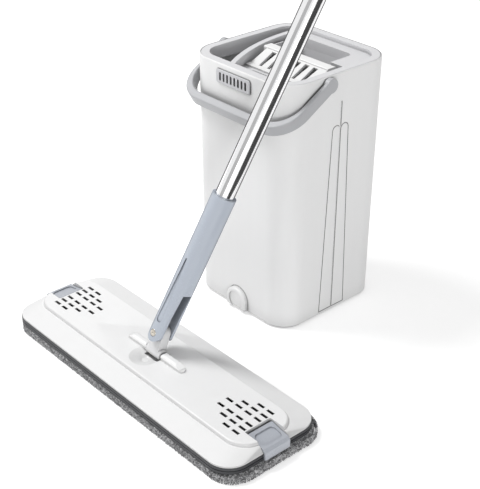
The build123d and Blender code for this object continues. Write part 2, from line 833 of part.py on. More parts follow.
# Knuckle: axle across the head, with an upright eye for the fork pin
with BuildPart(knuckle_plane) as knuckle:
    Cylinder(axle_radius, 2 * axle_half, rotation=(0, 90, 0))
    Cylinder(hub_radius, hub_width, rotation=(0, 90, 0))
    Box(knuckle_width, knuckle_thick, pin_rise, align=(Align.CENTER, Align.CENTER, Align.MIN))
    with Locations((0, 0, pin_rise)):
        Cylinder(eye_radius, knuckle_thick, rotation=(90, 0, 0))
        Cylinder(pin_radius + pin_clearance, knuckle_thick, rotation=(90, 0, 0), mode=Mode.SUBTRACT)
finish(knuckle, "knuckle")

# Pole socket: a barrel for the tube that narrows to a fork with two fluted ears
fork_plane = Plane(origin=pin_point, x_dir=pole_plane.x_dir, z_dir=-pole_plane.y_dir)
ear_round = ear_width / 2
rivet_seat = socket_radius - rivet_head_height
with BuildPart(pole_plane) as pole_socket:
    with Locations((0, 0, -ear_round)):
        Cylinder(socket_radius, socket_length + ear_round, align=(Align.CENTER, Align.CENTER, Align.MIN))
    with BuildSketch(fork_plane):
        with BuildLine():
            Polyline(
                (-ear_round, 0),
                (-ear_round, ear_top),
                (-socket_radius, barrel_start),
                (-socket_radius, socket_length),
                (socket_radius, socket_length),
                (socket_radius, barrel_start),
                (ear_round, ear_top),
                (ear_round, 0),
            )
            ThreePointArc((ear_round, 0), (0, -ear_round), (-ear_round, 0))
        make_face()
    extrude(amount=socket_radius, both=True, mode=Mode.INTERSECT)
    with Locations((0, 0, fork_top)):
        Box(
            2 * socket_radius,
            knuckle_thick + 2 * ear_gap,
            fork_top + ear_width,
            align=(Align.CENTER, Align.CENTER, Align.MAX),
            mode=Mode.SUBTRACT,
        )
    web_bottom = eye_radius + web_gap
    with Locations((-ear_round, 0, web_bottom)):
        Box(
            web_thick,
            knuckle_thick + 2 * ear_gap,
            fork_top - web_bottom,
            align=(Align.MIN, Align.CENTER, Align.MIN),
        )
    with Locations((0, 0, tube_seat)):
        Cylinder(
            tube_radius + tube_clearance,
            socket_length,
            align=(Align.CENTER, Align.CENTER, Align.MIN),
            mode=Mode.SUBTRACT,
        )
    Cylinder(pin_radius + pin_clearance, 4 * socket_radius, rotation=(90, 0, 0), mode=Mode.SUBTRACT)
    for across in (-1, 1):
        with BuildSketch(fork_plane.offset(across * socket_radius)):
            Circle(rivet_head + pin_clearance)
        extrude(amount=-across * (socket_radius - rivet_seat), mode=Mode.SUBTRACT)
        with BuildSketch(fork_plane.offset(across * socket_radius)):
            with Locations((0, flute_start + flute_width / 2)):
                Circle(flute_width / 2)
            with Locations((0, flute_end - flute_tip)):
                Circle(flute_tip)
            make_hull()
        extrude(amount=-across * flute_depth, mode=Mode.SUBTRACT)
finish(pole_socket, "pole_socket")

# Fork pin: a rivet with a flat head in each ear
with BuildPart(pole_plane) as fork_pin:
    Cylinder(pin_radius, 2 * rivet_seat, rotation=(90, 0, 0))
    for across in (-1, 1):
        with BuildSketch(fork_plane.offset(across * rivet_seat)):
            Circle(rivet_head)
        extrude(amount=across * rivet_head_height)
finish(fork_pin, "fork_pin")

# Pole tubes, one section after another
plug_fit = tube_radius - tube_wall - tube_clearance
tube_start = tube_seat
for name, tube_end in zip(("lower", "middle", "upper"), section_ends):
    with BuildPart() as pole_tube:
        with BuildSketch(pole_plane.offset(tube_start)):
            Circle(tube_radius)
            Circle(tube_radius - tube_wall, mode=Mode.SUBTRACT)
        extrude(amount=tube_end - tube_start)
    finish(pole_tube, f"pole_{name}")
    tube_start = tube_end + joint_ring

# Joint rings between the sections, each with a plug into both tubes
for name, joint_start in zip(("lower", "upper"), section_ends):
    with BuildPart() as pole_joint:
        with BuildSketch(pole_plane.offset(joint_start)):
            Circle(joint_ring_radius)
        extrude(amount=joint_ring)
        with BuildSketch(pole_plane.offset(joint_start - joint_plug)):
            Circle(plug_fit)
        extrude(amount=joint_ring + 2 * joint_plug)
    finish(pole_joint, f"pole_joint_{name}")

# Grip: a waisted sleeve on the upper tube
pole_top = section_ends[-1]
pole_axis = Axis(pin_point, pole_direction)
with BuildPart() as pole_grip:
    with BuildSketch(fork_plane):
        with BuildLine():
            Polyline(
                (grip_radius, pole_top - grip_length),
                (tube_radius + tube_clearance, pole_top - grip_length),
                (tube_radius + tube_clearance, pole_top),
                (grip_radius, pole_top),
            )
            ThreePointArc(
                (grip_radius, pole_top),
                (grip_waist, pole_top - grip_length / 2),
                (grip_radius, pole_top - grip_length),
            )
        make_face()
    revolve(axis=pole_axis)
finish(pole_grip, "pole_grip")

# Hanging eye: plug in the end of the pole, cap over the grip, flat tab with a hole
with BuildPart() as hang_eye:
    with BuildSketch(pole_plane.offset(pole_top - eye_plug)):
        Circle(plug_fit)
    extrude(amount=eye_plug)
    with BuildSketch(pole_plane.offset(pole_top)):
        Circle(grip_radius)
    extrude(amount=eye_cap)
    hole_z = pole_top + eye_length - eye_width / 2
    with BuildSketch(fork_plane):
        with Locations((0, pole_top)):
            Rectangle(eye_width, eye_length - eye_width / 2, align=(Align.CENTER, Align.MIN))
        with Locations((0, hole_z)):
            Circle(eye_width / 2)
            Circle(hang_hole, mode=Mode.SUBTRACT)
    extrude(amount=eye_thick / 2, both=True)
finish(hang_eye, "hang_eye")
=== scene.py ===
import json
import math
import random

import bpy
from bpy.props import FloatProperty, FloatVectorProperty, IntProperty, PointerProperty
from bpy.types import Operator, Panel, PropertyGroup
from mathutils import Matrix, Vector


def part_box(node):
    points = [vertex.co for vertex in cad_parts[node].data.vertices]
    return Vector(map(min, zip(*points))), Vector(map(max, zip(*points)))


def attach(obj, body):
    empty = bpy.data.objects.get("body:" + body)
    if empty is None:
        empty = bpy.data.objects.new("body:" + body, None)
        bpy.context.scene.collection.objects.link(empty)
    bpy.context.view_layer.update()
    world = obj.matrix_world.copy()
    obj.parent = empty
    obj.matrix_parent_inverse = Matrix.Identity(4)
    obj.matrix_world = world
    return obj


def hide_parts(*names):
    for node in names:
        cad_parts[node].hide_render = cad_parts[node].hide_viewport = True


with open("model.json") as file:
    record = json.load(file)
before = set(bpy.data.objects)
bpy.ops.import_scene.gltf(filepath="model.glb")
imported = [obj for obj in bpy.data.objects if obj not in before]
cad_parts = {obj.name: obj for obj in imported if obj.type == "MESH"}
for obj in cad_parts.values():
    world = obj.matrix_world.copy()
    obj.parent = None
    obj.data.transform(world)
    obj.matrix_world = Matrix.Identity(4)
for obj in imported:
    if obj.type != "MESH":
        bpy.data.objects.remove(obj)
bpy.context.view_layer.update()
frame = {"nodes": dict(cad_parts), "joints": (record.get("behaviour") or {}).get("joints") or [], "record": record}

bl_info = {
    "name": "Flat mop and wringing bucket",
    "version": (1, 0, 0),
    "blender": (4, 5, 0),
    "location": "3D View > Sidebar > Mop",
    "description": "Dresses the packed mop and bucket and sets up the studio",
    "category": "Object",
}

MM = 0.001
JOINTS = {joint["name"]: joint for joint in frame["joints"]}
MOUNTS = {mount["name"]: mount for mount in frame["record"]["mounts"]}
FORK = Vector(JOINTS["pole_swing"]["pos_m"])
PIN = Vector(JOINTS["pole_swing"]["axis"]).normalized()
POLE = (Vector(MOUNTS["hang_hole"]["pos_m"]) - FORK).normalized()

# Sockets of a Mix node that mixes colours: the ones that mix numbers have the same names.
MIX_FACTOR, MIX_FIRST, MIX_SECOND, MIX_RESULT = 0, 6, 7, 2
GROOVE_SAMPLES = 8
EDGE_SAMPLES = 6
GRAIN_SCALE = 700.0
GRAIN_RELIEF = 0.02 * MM
HOLLOW_REACH = 45 * MM
RIVET_SIDES = 40

# How far the tufts of the pile stray: turn and lift in radians, growth as a factor, the depth
# of the root as a share of the length and the height as a share of the distance between rows.
TUFT_TURN = (-0.5, 0.5)
TUFT_LIFT = (-0.35, 0.3)
TUFT_GROWTH = (0.75, 1.15)
TUFT_ROOT = (0.45, 0.75)
TUFT_HEIGHT = (-0.2, 0.2)

# The studio, in metres, with cards beside the pole that only reflections see.
KEY_LAMP = {"place": (-1.1, -0.75, 2.15), "target": (0.05, -0.15, 0.12), "size": 0.9}
FRONT_LAMP = {"place": (3.0, -2.3, 0.3), "target": (0.05, -0.05, 0.18), "size": 1.2}
CARDS = {
    "dark_card": {"towards": (0.933, 0.12, -0.41), "distance": 0.3, "width": 0.34, "grey": 0.07},
    "grey_card": {"towards": (0.02, -0.975, 0.222), "distance": 0.9, "width": 0.62, "grey": 0.53},
    "back_card": {"towards": (-0.66, 0.73, -0.16), "distance": 0.05, "width": 0.15, "grey": 0.13},
}
CARD_MIDDLE = 0.4
CARD_LENGTH = 1.6
NEAREST, FURTHEST = 0.01, 50.0
SENSOR_WIDTH = 36.0  # in millimetres, as Blender has it


def tint(red, green, blue):
    """An sRGB colour written in 0 to 255 as the linear values that Blender keeps."""
    levels = [level / 255 for level in (red, green, blue)]
    return tuple(
        level / 12.92 if level <= 0.04045 else ((level + 0.055) / 1.055) ** 2.4
        for level in levels
    )


def colour(name, description, red, green, blue):
    """A colour property."""
    return FloatVectorProperty(
        name=name, description=description, subtype="COLOR", size=3, min=0.0, max=1.0,
        default=tint(red, green, blue),
    )


def length(name, description, millimetres):
    """A length property, given in millimetres and kept in metres."""
    return FloatProperty(
        name=name, description=description, unit="LENGTH", min=0.0, precision=5,
        default=millimetres * MM,
    )


class BucketLook(PropertyGroup):
    """Colours of the bucket and its wringing insert."""
    tub: colour("Tub", "White plastic of the tub and the drain plug", 240, 240, 240)
    insert: colour("Insert", "Pale plastic of the wringing insert", 224, 224, 226)
    comb: colour("Comb", "White plastic of the comb and the scraper bar", 247, 247, 247)
    vent: colour("Vent", "Pale grey plastic of the front grille", 203, 203, 206)
    bail: colour("Bail", "Grey plastic of the carrying handle", 181, 182, 185)
    rubber: colour("Rubber", "Grey rubber of the scraper lip and the drain seal", 92, 94, 98)


class MopLook(PropertyGroup):
    """Colours of the mop's head, joint and pole."""
    head: colour("Head", "White plastic of the head and the caps", 249, 249, 249)
    knuckle: colour("Knuckle", "Pale plastic of the knuckle", 224, 224, 225)
    base: colour("Base plate", "Charcoal plastic of the base plate", 58, 59, 62)
    hook: colour("Hook tape", "Black hook tape under the base plate", 30, 30, 32)
    clip: colour("Clips", "Grey plastic of the pad clips", 184, 188, 196)
    socket: colour("Socket", "Blue-grey plastic of the pole socket", 184, 191, 202)
    grip: colour("Grip", "Grey plastic of the grip, the rings and the hanging eye", 176, 181, 190)
    steel: colour("Pole", "Polished steel of the pole", 244, 244, 245)
    pin: colour("Pins", "Plain steel of the rivet and the clip pins", 196, 190, 180)


class PadLook(PropertyGroup):
    """Sizes and colours of the microfibre pad."""
    dark: colour("Dark fibre", "Darkest fibres of the mottled pile", 104, 104, 106)
    light: colour("Light fibre", "Lightest fibres of the mottled pile", 226, 226, 228)
    corner: length("Corner", "Radius of the pad's corners", 30)
    edge: length("Edge", "Round along the pad's upper and lower edges", 3)
    slack: length("Slack", "How much smaller the pad is before it is filled", 1.5)
    voxel: length("Voxel", "Size of the remesh before the fill", 4)
    swell: length("Swell", "Furthest that a point of the fabric may move", 2)
    pressure: FloatProperty(name="Pressure", description="Pressure of the filling",
                            default=4.0, min=0.0)
    frames: IntProperty(name="Frames", description="Frames that the filling takes",
                        default=20, min=2)
    fill: FloatProperty(name="Fill", description="How tightly the pad is filled",
                        subtype="FACTOR", default=0.8, min=0.0, max=1.0)
    tuft_length: length("Tuft length", "Length of one tuft of the pile", 1.8)
    tuft_radius: length("Tuft radius", "Radius of one tuft at its root", 0.7)
    tuft_pitch: length("Tuft pitch", "Distance between tufts along the edge", 1.6)
    tuft_rows: IntProperty(name="Tuft rows", description="Rows of tufts up the side",
                           default=6, min=1)
    seed: IntProperty(name="Seed", description="Start of the pile's random lay", default=7)


class PoleLook(PropertyGroup):
    """Sizes of the pole's round tubes and of the rivet."""
    tube: length("Tube radius", "Outer radius of the pole's tubes", 11)
    wall: length("Tube wall", "Thickness of the tubes' wall", 0.8)
    burr: length("Rolled end", "Round at the ends of each tube", 0.3)
    sides: IntProperty(name="Sides", description="Sides of each tube", default=96, min=12)
    shank: length("Rivet shank", "Radius of the rivet's shank", 3)
    head: length("Rivet head", "Radius of the rivet's heads", 4.4)
    head_height: length("Rivet head height", "Height of the rivet's heads", 1.2)
    dimple: length("Rivet dimple", "Radius of the dimple in each head", 1.5)


class StageLook(PropertyGroup):
    """Floor, lamps and camera."""
    floor: colour("Floor", "Pale floor", 236, 236, 236)
    floor_size: length("Floor size", "Side of the square floor", 12000)
    glow: FloatProperty(name="Floor glow",
                        description="Light that the floor adds for the camera and reflections",
                        default=0.5, min=0.0, max=1.0)
    ambient: FloatProperty(name="Room light", description="Strength of the room's even light",
                           default=0.45, min=0.0)
    key: FloatProperty(name="Key lamp", description="Power of the high lamp on the left",
                       unit="POWER", default=33.0, min=0.0)
    front: FloatProperty(name="Front lamp", description="Power of the low lamp on the right",
                         unit="POWER", default=58.0, min=0.0)
    eye: FloatVectorProperty(name="Camera", description="Where the camera stands",
                             subtype="TRANSLATION", default=(0.8905, -0.86726, 0.76708))
    ahead: FloatVectorProperty(name="View", description="Direction that the camera looks in",
                               subtype="DIRECTION", default=(-0.65080, 0.57605, -0.49459))
    lens: FloatProperty(name="Lens", description="Focal length on a 36 mm sensor",
                        unit="CAMERA", default=81.69, min=1.0)


class Value:
    """A socket in a finish. Arithmetic on it adds Math nodes."""

    def __init__(self, finish, socket):
        self.finish = finish
        self.socket = socket

    def maths(self, operation, *values):
        """A Math node on two values."""
        return self.finish.node("Math", {"operation": operation}, dict(enumerate(values)))

    def __add__(self, other):
        return self.maths("ADD", self, other)

    def __sub__(self, other):
        return self.maths("SUBTRACT", self, other)

    def __rsub__(self, other):
        return self.maths("SUBTRACT", other, self)

    def __mul__(self, other):
        return self.maths("MULTIPLY", self, other)

    __radd__ = __add__
    __rmul__ = __mul__

    def between(self, low, high):
        """0 below low, 1 above high, and smooth between them."""
        return self.finish.node(
            "MapRange", {"interpolation_type": "SMOOTHSTEP"},
            {"Value": self, "From Min": low, "From Max": high}, "Result")


class Finish:
    """A node-based material or world."""

    def __init__(self, owner):
        owner.use_nodes = True
        self.owner = owner
        self.tree = owner.node_tree
        self.tree.nodes.clear()

    def node(self, kind, settings=None, sockets=None, output=0):
        """Adds a node: its settings first, then the values or links of its sockets."""
        node = self.tree.nodes.new("ShaderNode" + kind)
        for key, value in (settings or {}).items():
            setattr(node, key, value)
        for key, value in (sockets or {}).items():
            if isinstance(value, Value):
                self.tree.links.new(value.socket, node.inputs[key])
            else:
                node.inputs[key].default_value = value
        return Value(self, node.outputs[output]) if node.outputs else None

    def place(self, scale=(1, 1, 1), turn=(0, 0, 0)):
        """Object coordinates, turned and scaled."""
        here = self.node("TexCoord", output="Object")
        return self.node("Mapping", {"vector_type": "POINT"},
                         {"Vector": here, "Rotation": turn, "Scale": scale})

    def noise(self, where, scale=1.0, detail=2.0, rough=0.5):
        """Smooth noise."""
        return self.node("TexNoise", {}, {"Vector": where, "Scale": scale, "Detail": detail,
                                          "Roughness": rough}, "Fac")

    def cells(self, where, output, scale, randomness=1.0):
        """Small cells, each with its own colour and the distance from its middle."""
        return self.node("TexVoronoi", {"feature": "F1"},
                         {"Vector": where, "Scale": scale, "Randomness": randomness}, output)

    def blend(self, amount, first, second):
        """Two colours mixed."""
        def four(paint):
            return paint if isinstance(paint, Value) else (*paint, 1.0)
        return self.node("Mix", {"data_type": "RGBA"},
                         {MIX_FACTOR: amount, MIX_FIRST: four(first), MIX_SECOND: four(second)},
                         MIX_RESULT)

    def crevice(self, reach, start, end):
        """How deep a point lies in a groove or an inside corner, from 0 to 1."""
        open_air = self.node("AmbientOcclusion", {"samples": GROOVE_SAMPLES},
                             {"Distance": reach}, "AO")
        return (1 - open_air).between(start, end)

    def rounding(self, radius):
        """The normal rounded over the edges."""
        return self.node("Bevel", {"samples": EDGE_SAMPLES}, {"Radius": radius})

    def edges(self, rounded):
        """How near a point is to a rounded edge, from 0 to 1."""
        flat = self.node("NewGeometry", output="Normal")
        same = self.node("VectorMath", {"operation": "DOT_PRODUCT"}, {0: rounded, 1: flat},
                         "Value")
        return (1 - same).between(low=0.004, high=0.09)

    def bump(self, height, distance, strength=1.0, normal=None):
        """A relief over the surface."""
        sockets = {"Height": height, "Distance": distance, "Strength": strength}
        if normal:
            sockets["Normal"] = normal
        return self.node("Bump", {}, sockets)

    def surface(self, **sockets):
        """Joins the values to the shader and the shader to the output."""
        named = {key.replace("_", " "): value for key, value in sockets.items()}
        shader = self.node("BsdfPrincipled", {}, named)
        self.node("OutputMaterial", {}, {"Surface": shader})
        return self.owner


def new_finish(name):
    """An empty material."""
    return Finish(bpy.data.materials.new(name))


def toned(paint, factor, lift=0.0):
    """A colour made darker or paler."""
    return [min(1.0, channel * factor + lift) for channel in paint]


def moulded_plastic(name, paint, gloss=0.38, edge=0.7, wear=0.35, groove_shade=0.5, reach=5.0,
                    seam=(0.2, 0.7), hollow_shade=0.45, hole=(0.25, 0.85), slope_shade=0.0):
    """Moulded plastic with a satin grain and a cloudy tone.

    Its edges are rounded by edge and made paler by wear. Painted shade darkens the grooves
    and inside corners up to reach wide by groove_shade, the insides and the faces near the
    floor by hollow_shade, and the slopes by slope_shade. Seam and hole say how closed in a
    groove or an inside is where that painted shade begins and where it is full. Edge and
    reach are in millimetres.
    """
    finish = new_finish(name)
    here = finish.place()
    rounded = finish.rounding(edge * MM)
    edges = finish.edges(rounded)
    cloud = finish.noise(here, scale=9.0, detail=3.0)
    streak = finish.noise(finish.place(scale=(60.0, 60.0, 4.0)))
    grain = finish.noise(here, scale=GRAIN_SCALE, rough=0.6)
    dust = finish.noise(here, scale=160.0, detail=4.0, rough=0.7).between(low=0.62, high=0.8)
    slope = 1 - finish.node("SeparateXYZ", {}, {"Vector": rounded}, "Z")
    # Painted shade: the steeper a face, the darker its colour, as if less light fell on it.
    steep = slope.between(low=0.0, high=0.04) * 0.5 + slope.between(low=0.03, high=0.4)
    # Painted shade: insides, and faces near the floor or other parts, are marked for a darker colour where a wide
    # ambient occlusion finds them closed in.
    inside = finish.crevice(HOLLOW_REACH, *hole)
    # Painted shade: grooves, steps and inside corners are marked for a darker colour where ambient occlusion finds
    # them closed in.
    groove = finish.crevice(reach * MM, *seam)
    tone = finish.blend(cloud * 0.5 + streak * 0.5, toned(paint, 0.965), toned(paint, 1.02))
    tone = finish.blend(edges * wear, tone, toned(paint, 1.1, lift=0.01))
    # Painted shade: darkens the colour on the slopes.
    tone = finish.blend(steep * slope_shade, tone, toned(paint, 0.5))
    tone = finish.blend(dust * 0.06, tone, toned(paint, 0.72))
    # Painted shade: darkens the colour of the insides.
    tone = finish.blend(inside * hollow_shade, tone, toned(paint, 0.3))
    # Painted shade: darkens the colour in the grooves and inside corners.
    tone = finish.blend(groove * groove_shade, tone, toned(paint, 0.2))
    return finish.surface(
        Base_Color=tone,
        Roughness=gloss + (grain - 0.5) * 0.10 + (cloud - 0.5) * 0.06 - edges * 0.08,
        Normal=finish.bump(grain, GRAIN_RELIEF, strength=0.5, normal=rounded),
    )


def soft_rubber(name, paint):
    """Matt rubber with a fine bloom."""
    finish = new_finish(name)
    here = finish.place()
    rounded = finish.rounding(0.5 * MM)
    grain = finish.noise(here, scale=1100.0, detail=3.0, rough=0.65)
    bloom = finish.noise(here, scale=45.0, detail=4.0, rough=0.6).between(low=0.35, high=0.75)
    return finish.surface(
        Base_Color=finish.blend(bloom * 0.5 + finish.edges(rounded) * 0.3,
                                toned(paint, 0.85), toned(paint, 1.25)),
        Roughness=0.62 + (grain - 0.5) * 0.2,
        Normal=finish.bump(grain, 0.05 * MM, strength=0.6, normal=rounded),
    )


def hook_tape(name, paint):
    """Woven tape with rows of tiny hooks."""
    finish = new_finish(name)
    cells = finish.cells(finish.place(), "Distance", scale=900.0, randomness=0.35)
    knob = 1 - cells.between(low=0.1, high=0.5)
    return finish.surface(
        Base_Color=finish.blend(knob, toned(paint, 0.5), toned(paint, 1.6)),
        Roughness=0.55 + knob * 0.1,
        Normal=finish.bump(knob, 0.4 * MM),
    )


def polished_steel(name, paint, axis, gloss=0.10):
    """Polished steel with long fine draw lines along an axis."""
    finish = new_finish(name)
    turn = Vector((0, 0, 1)).rotation_difference(axis).inverted().to_euler()
    drawn = finish.place(scale=(1500.0, 1500.0, 5.0), turn=turn)
    lines = finish.noise(drawn, detail=3.0, rough=0.6)
    smear = finish.noise(finish.place(), scale=26.0, detail=3.0, rough=0.6)
    return finish.surface(
        Base_Color=finish.blend(lines.between(low=0.3, high=0.7) * 0.5 + smear * 0.3,
                                toned(paint, 0.93), paint),
        Metallic=1.0,
        Roughness=gloss + (lines - 0.5) * 0.06 + smear.between(low=0.5, high=0.8) * 0.04,
        Normal=finish.bump(lines, 0.004 * MM, strength=0.5, normal=finish.rounding(0.4 * MM)),
    )


def mottled_pile(name, dark, light):
    """Microfibre pile: short fibres of mixed greys."""
    finish = new_finish(name)
    here = finish.place()
    cells = finish.cells(here, "Color", scale=620.0)
    speck = finish.node("SeparateColor", {}, {"Color": cells}, "Red")
    patch = finish.noise(here, scale=120.0, detail=3.0, rough=0.6)
    fibre = finish.noise(finish.place(scale=(900.0, 900.0, 2600.0)), detail=3.0, rough=0.7)
    mottle = (speck * 0.62 + patch * 0.5 - 0.08).between(low=0.2, high=0.95)
    return finish.surface(
        Base_Color=finish.blend((fibre - 0.35) * 0.7, finish.blend(mottle, dark, light),
                                toned(dark, 0.35)),
        Roughness=0.93,
        Sheen_Weight=0.25,
        Sheen_Roughness=0.6,
        Normal=finish.bump(fibre + speck * 0.5, 0.5 * MM, strength=0.8),
    )


def dress(nodes, material):
    """Gives CAD nodes a finish."""
    for name in nodes:
        mesh = frame["nodes"][name].data
        mesh.materials.clear()
        mesh.materials.append(material)


def start_block(name, low, high):
    """A selected block between two corners."""
    bpy.ops.object.select_all(action="DESELECT")
    bpy.ops.mesh.primitive_cube_add(size=1.0, location=(low + high) / 2)
    piece = bpy.context.object
    piece.name = piece.data.name = name
    piece.scale = high - low
    bpy.ops.object.transform_apply(location=True, rotation=True, scale=True)
    return piece


def select_edges(piece, test):
    """Leaves the piece in edit mode with the edges selected whose two ends pass a test."""
    bpy.ops.object.mode_set(mode="EDIT")
    bpy.ops.mesh.select_mode(type="EDGE")
    bpy.ops.mesh.select_all(action="DESELECT")
    bpy.ops.object.mode_set(mode="OBJECT")
    points = piece.data.vertices
    for edge in piece.data.edges:
        edge.select = test(*(points[i].co for i in edge.vertices))
    bpy.ops.object.mode_set(mode="EDIT")


def along(axis, node):
    """Where a node starts and ends along an axis, measured from the fork pin's middle."""
    reach = [(point.co - FORK).dot(axis) for point in frame["nodes"][node].data.vertices]
    return min(reach), max(reach)


def settle(piece, origin, axis):
    """Turns a piece made along Z onto an axis, and applies its place."""
    turn = Vector((0, 0, 1)).rotation_difference(axis).to_matrix().to_4x4()
    piece.matrix_world = Matrix.Translation(origin) @ turn
    bpy.ops.object.select_all(action="DESELECT")
    piece.select_set(True)
    bpy.context.view_layer.objects.active = piece
    bpy.ops.object.transform_apply(location=True, rotation=True, scale=True)


def apply_modifier(piece, name, kind, **settings):
    """Adds a modifier and applies it."""
    modifier = piece.modifiers.new(name, kind)
    for key, value in settings.items():
        setattr(modifier, key, value)
    bpy.ops.object.modifier_apply(modifier=modifier.name)


def round_tube(name, start, end, look):
    """One round tube of the pole: a ring drawn out, given its wall and rolled ends."""
    bpy.ops.object.select_all(action="DESELECT")
    bpy.ops.mesh.primitive_circle_add(vertices=look.sides, radius=look.tube)
    tube = bpy.context.object
    tube.name = tube.data.name = name
    bpy.ops.object.mode_set(mode="EDIT")
    bpy.ops.mesh.select_all(action="SELECT")
    bpy.ops.mesh.extrude_region_move(TRANSFORM_OT_translate={"value": (0, 0, end - start)})
    bpy.ops.mesh.select_all(action="SELECT")
    bpy.ops.mesh.normals_make_consistent(inside=False)
    bpy.ops.object.mode_set(mode="OBJECT")
    apply_modifier(tube, "wall", "SOLIDIFY", thickness=look.wall, offset=-1.0)
    apply_modifier(tube, "rolled ends", "BEVEL", width=look.burr, segments=3,
                   limit_method="ANGLE", angle_limit=math.radians(60))
    bpy.ops.object.shade_smooth_by_angle(angle=math.radians(40))
    settle(tube, FORK + POLE * start, POLE)
    return tube


def rivet_head(look, low, high):
    """One domed and dimpled head of the rivet, between two heights along its axis."""
    bpy.ops.object.select_all(action="DESELECT")
    bpy.ops.mesh.primitive_cylinder_add(vertices=RIVET_SIDES, radius=look.head, depth=high - low,
                                        location=(0, 0, (low + high) / 2))
    head = bpy.context.object
    bpy.ops.object.transform_apply(location=True, rotation=True, scale=True)
    top = high - MM / 100
    dome, sink = look.head_height * 0.8, look.head_height * 0.45
    facing_up = 0.99
    select_edges(head, lambda a, b: min(a.z, b.z) > top)
    bpy.ops.mesh.bevel(offset=dome, segments=5)
    bpy.ops.mesh.select_mode(type="FACE")
    bpy.ops.mesh.select_all(action="DESELECT")
    bpy.ops.object.mode_set(mode="OBJECT")
    for face in head.data.polygons:
        face.select = face.normal.z > facing_up and face.center.z > top
    bpy.ops.object.mode_set(mode="EDIT")
    bpy.ops.mesh.inset(thickness=look.head - dome - look.dimple)
    bpy.ops.mesh.inset(thickness=look.dimple / 2, depth=-sink)
    bpy.ops.object.mode_set(mode="OBJECT")
    return head


def tuft_of_pile(look):
    """One drooping five-sided tuft that points along X."""
    bpy.ops.object.select_all(action="DESELECT")
    bpy.ops.mesh.primitive_circle_add(vertices=5, radius=look.tuft_radius,
                                      rotation=(0, math.pi / 2, 0))
    tuft = bpy.context.object
    tuft.name = tuft.data.name = "tuft"
    bpy.ops.object.transform_apply(location=True, rotation=True, scale=True)
    bpy.ops.object.mode_set(mode="EDIT")
    bpy.ops.mesh.select_all(action="SELECT")
    half = look.tuft_length / 2
    droop, bulge, tip = half * 0.5, 1.1, 0.45
    bpy.ops.mesh.extrude_region_move(TRANSFORM_OT_translate={"value": (half, 0, 0)})
    bpy.ops.transform.resize(value=(1.0, bulge, bulge))
    bpy.ops.mesh.extrude_region_move(TRANSFORM_OT_translate={"value": (half, 0, -droop)})
    bpy.ops.transform.resize(value=(1.0, tip, tip))
    bpy.ops.mesh.edge_face_add()
    bpy.ops.mesh.select_all(action="SELECT")
    bpy.ops.mesh.normals_make_consistent(inside=False)
    bpy.ops.object.mode_set(mode="OBJECT")
    return tuft


def pad_rim(low, high, corner, pitch):
    """Points round the pad's plan with their outward directions, a pitch apart."""
    middle = (low + high) / 2
    half = (high - low) / 2
    runs = ((1, 0, half.y - corner), (0, 1, half.x - corner),
            (-1, 0, half.y - corner), (0, -1, half.x - corner))
    for out_x, out_y, straight in runs:
        out = Vector((out_x, out_y, 0))
        side = Vector((-out_y, out_x, 0))
        face = middle + Vector((out_x * half.x, out_y * half.y, 0))
        steps = max(1, round(2 * straight / pitch))
        for step in range(steps):
            yield face + side * (2 * straight * (step + 0.5) / steps - straight), out
        centre = face + side * straight - out * corner
        steps = max(1, round(corner * math.pi / 2 / pitch))
        for step in range(steps):
            turned = Matrix.Rotation(math.pi / 2 * (step + 0.5) / steps, 3, "Z") @ out
            yield centre + turned * corner, turned


def lay_pile(pad, low, high, look):
    """Sets tufts in rows round the pad's side and joins them to it."""
    chance = random.Random(look.seed)
    tuft = tuft_of_pile(look)
    tufts = []
    rise = (high.z - low.z) / look.tuft_rows
    for row in range(look.tuft_rows):
        for point, out in pad_rim(low, high, look.corner, look.tuft_pitch):
            copy = tuft.copy()
            copy.data = tuft.data.copy()
            bpy.context.scene.collection.objects.link(copy)
            turn = math.atan2(out.y, out.x) + chance.uniform(*TUFT_TURN)
            lift = chance.uniform(*TUFT_LIFT)
            grow = chance.uniform(*TUFT_GROWTH)
            root = point - out * look.tuft_length * chance.uniform(*TUFT_ROOT)
            root.z = low.z + rise * (row + 0.5) + chance.uniform(*TUFT_HEIGHT) * rise
            copy.matrix_world = (Matrix.Translation(root) @ Matrix.Rotation(turn, 4, "Z")
                                 @ Matrix.Rotation(-lift, 4, "Y") @ Matrix.Scale(grow, 4))
            tufts.append(copy)
    bpy.data.objects.remove(tuft)
    bpy.ops.object.select_all(action="DESELECT")
    for piece in (*tufts, pad):
        piece.select_set(True)
    bpy.context.view_layer.objects.active = pad
    bpy.ops.object.join()
    for point in pad.data.vertices:
        point.co.z = min(max(point.co.z, low.z), high.z)


def fill_pad(pad, low, high, look):
    """Swells the pad by a cloth simulation with pressure, between the floor and the plate."""
    pad.data.remesh_voxel_size = look.voxel
    bpy.ops.object.voxel_remesh()
    start = [point.co.copy() for point in pad.data.vertices]
    scene = bpy.context.scene
    cloth = pad.modifiers.new("filling", "CLOTH")
    cloth.settings.use_pressure = True
    cloth.settings.uniform_pressure_force = look.pressure
    cloth.settings.effector_weights.gravity = 0.0
    cloth.point_cache.frame_start = 1
    cloth.point_cache.frame_end = look.frames
    for step in range(1, look.frames + 1):
        scene.frame_set(step)
    bpy.ops.object.modifier_apply(modifier=cloth.name)
    scene.frame_set(1)
    for point, rest in zip(pad.data.vertices, start):
        move = point.co - rest
        if move.length > look.swell:
            move *= look.swell / move.length
        point.co = rest + move
        point.co.z = min(max(point.co.z, low.z), high.z)
    apply_modifier(pad, "finer", "SUBSURF", levels=1, render_levels=1)


